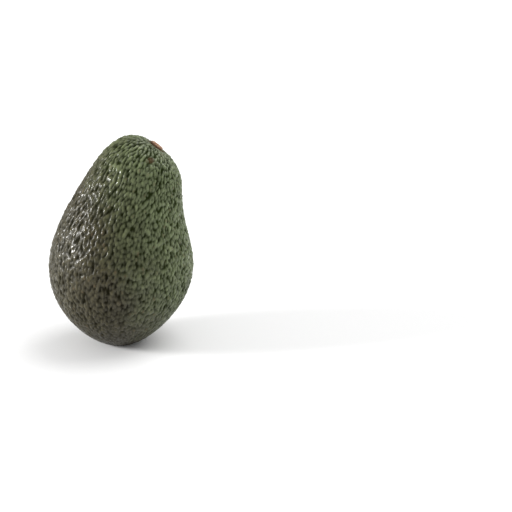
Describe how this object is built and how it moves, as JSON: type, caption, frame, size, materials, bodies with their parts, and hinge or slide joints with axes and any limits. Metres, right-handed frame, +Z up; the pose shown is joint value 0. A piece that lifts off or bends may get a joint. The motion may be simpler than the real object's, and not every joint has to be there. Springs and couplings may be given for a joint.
{
  "type": "avocado",
  "caption": "Whole ripe avocado with dark, pebbled skin, a pear-like form and a leaning neck, its dried stem button in place, standing on a small flat spot.",
  "frame": {"origin": "middle of the flat spot at the blossom end, on which the fruit stands", "axes": "+Z up, towards the neck and the stem end; +X the way in which the neck leans; the fruit's plane of symmetry is XZ"},
  "size_m": [0.0709, 0.0699, 0.1032],
  "materials": {
    "skin": "semi-gloss, pebbled",
    "stem": "dry, corky"
  },
  "bodies": {
    "root": {"fruit": "skin", "stem_button": "stem"}
  },
  "joints": []
}
